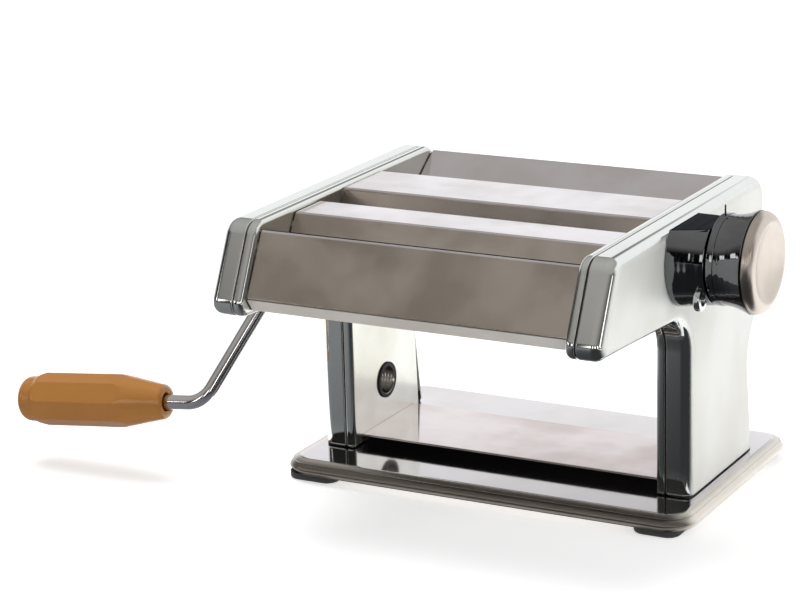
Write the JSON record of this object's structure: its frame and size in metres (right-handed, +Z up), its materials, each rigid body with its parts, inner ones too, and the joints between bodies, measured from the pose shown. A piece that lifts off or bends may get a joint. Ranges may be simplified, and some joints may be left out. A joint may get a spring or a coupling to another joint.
{
  "type": "pasta machine",
  "caption": "Hand-cranked pasta machine with smooth and cutting rollers between chromed sides on a flat base, a gap regulator knob and a pull-off crank with a turning handle",
  "frame": {"origin": "centre of the base on the table plane, under the rubber feet", "axes": "X along the rollers with the crank at -X and the regulator knob at +X, Y from the overhanging front at -Y to the rear, Z up"},
  "size_m": [0.3634, 0.2006, 0.1488],
  "materials": {
    "chrome": "mirror chrome plating on pressed steel",
    "steel": "satin stainless steel",
    "bronze": "plain bronze",
    "rubber": "matte black rubber",
    "champagne": "satin champagne anodised",
    "dark": "dark index mark",
    "grip": "semi-gloss ochre plastic"
  },
  "bodies": {
    "frame": {"base_plate": "chrome", "foot_front_left": "rubber", "foot_front_right": "rubber", "foot_rear_left": "rubber", "foot_rear_right": "rubber", "floor_pan": "chrome", "left_frame": "chrome", "right_frame": "chrome", "left_cover": "chrome", "right_cover": "chrome", "front_panel": "steel", "front_guide": "steel", "rear_guide": "steel", "rear_panel": "steel", "front_tie_rod": "steel", "middle_tie_rod": "steel", "rear_tie_rod": "steel", "left_bushes": "bronze", "right_bushes": "bronze", "narrow_socket_ring": "chrome", "smooth_socket_ring": "chrome", "wide_socket_ring": "chrome", "clamp_grommet": "rubber", "narrow_combs": "steel", "smooth_scrapers": "steel", "wide_combs": "steel", "left_carriage_guide": "steel", "right_carriage_guide": "steel", "right_carriage_spring": "steel", "left_carriage_spring": "steel", "regulator_boss": "chrome", "boss_screw": "chrome"},
    "narrow_drive": {"narrow_drive_cutter": "steel", "narrow_drive_gear": "bronze"},
    "narrow_mate": {"narrow_mate_cutter": "steel", "narrow_mate_gear": "bronze"},
    "smooth_drive": {"smooth_drive_roller": "steel", "smooth_drive_gear": "bronze"},
    "smooth_mate": {"smooth_mate_roller": "steel", "smooth_mate_gear": "bronze"},
    "wide_drive": {"wide_drive_cutter": "steel", "wide_drive_gear": "bronze"},
    "wide_mate": {"wide_mate_cutter": "steel", "wide_mate_gear": "bronze"},
    "carriage": {"right_yoke": "steel", "left_bearing_plate": "steel", "carriage_bar": "steel"},
    "regulator": {"regulator_shaft": "steel", "regulator_cam": "steel", "retaining_washer": "steel", "knob_spring": "steel"},
    "knob": {"knob_body": "chrome", "knob_cap": "champagne", "index_pin": "dark", "stop_pin": "steel"},
    "crank": {"crank_rod": "chrome", "drive_pin": "steel", "grip_collar": "steel"},
    "grip": {"grip_body": "grip", "grip_cap": "grip"}
  },
  "joints": [
    {"name": "narrow_drive_spin", "type": "hinge", "parent": "frame", "child": "narrow_drive", "pos_m": [0, -0.112, 0.114], "axis": [1, 0, 0], "continuous": true},
    {"name": "narrow_mate_spin", "type": "hinge", "parent": "frame", "child": "narrow_mate", "pos_m": [0, -0.09, 0.114], "axis": [1, 0, 0], "continuous": true},
    {"name": "smooth_drive_spin", "type": "hinge", "parent": "frame", "child": "smooth_drive", "pos_m": [0, -0.0399, 0.1115], "axis": [1, 0, 0], "continuous": true},
    {"name": "carriage_slide", "type": "slide", "parent": "frame", "child": "carriage", "axis": [0, 1, 0], "range_m": [0, 0.0028], "deforming": ["right_carriage_spring", "left_carriage_spring"]},
    {"name": "smooth_mate_spin", "type": "hinge", "parent": "carriage", "child": "smooth_mate", "pos_m": [0, -0.0661, 0.1115], "axis": [1, 0, 0], "continuous": true},
    {"name": "wide_drive_spin", "type": "hinge", "parent": "frame", "child": "wide_drive", "pos_m": [0, 0.029, 0.113], "axis": [1, 0, 0], "continuous": true},
    {"name": "wide_mate_spin", "type": "hinge", "parent": "frame", "child": "wide_mate", "pos_m": [0, 0.007, 0.113], "axis": [1, 0, 0], "continuous": true},
    {"name": "regulator_turn", "type": "hinge", "parent": "frame", "child": "regulator", "pos_m": [0.1, -0.048, 0.1246], "axis": [1, 0, 0], "range_deg": [0, 270]},
    {"name": "knob_pull", "type": "slide", "parent": "regulator", "child": "knob", "axis": [1, 0, 0], "range_m": [0, 0.005], "stiffness_N_per_m": 400, "deforming": ["knob_spring"]},
    {"name": "crank_pull", "type": "slide", "parent": "smooth_drive", "child": "crank", "axis": [-1, 0, 0], "range_m": [0, 0.012]},
    {"name": "grip_spin", "type": "hinge", "parent": "crank", "child": "grip", "pos_m": [-0.13198, -0.08311, 0.03873], "axis": [-0.9945, -0.0534, -0.0899], "continuous": true}
  ],
  "couplings": [
    {"joint": "narrow_mate_spin", "follows": "narrow_drive_spin", "ratio": -1},
    {"joint": "smooth_mate_spin", "follows": "smooth_drive_spin", "ratio": -1},
    {"joint": "wide_mate_spin", "follows": "wide_drive_spin", "ratio": -1},
    {"joint": "regulator_turn", "follows": "carriage_slide", "rad_per_m": 1683}
  ]
}
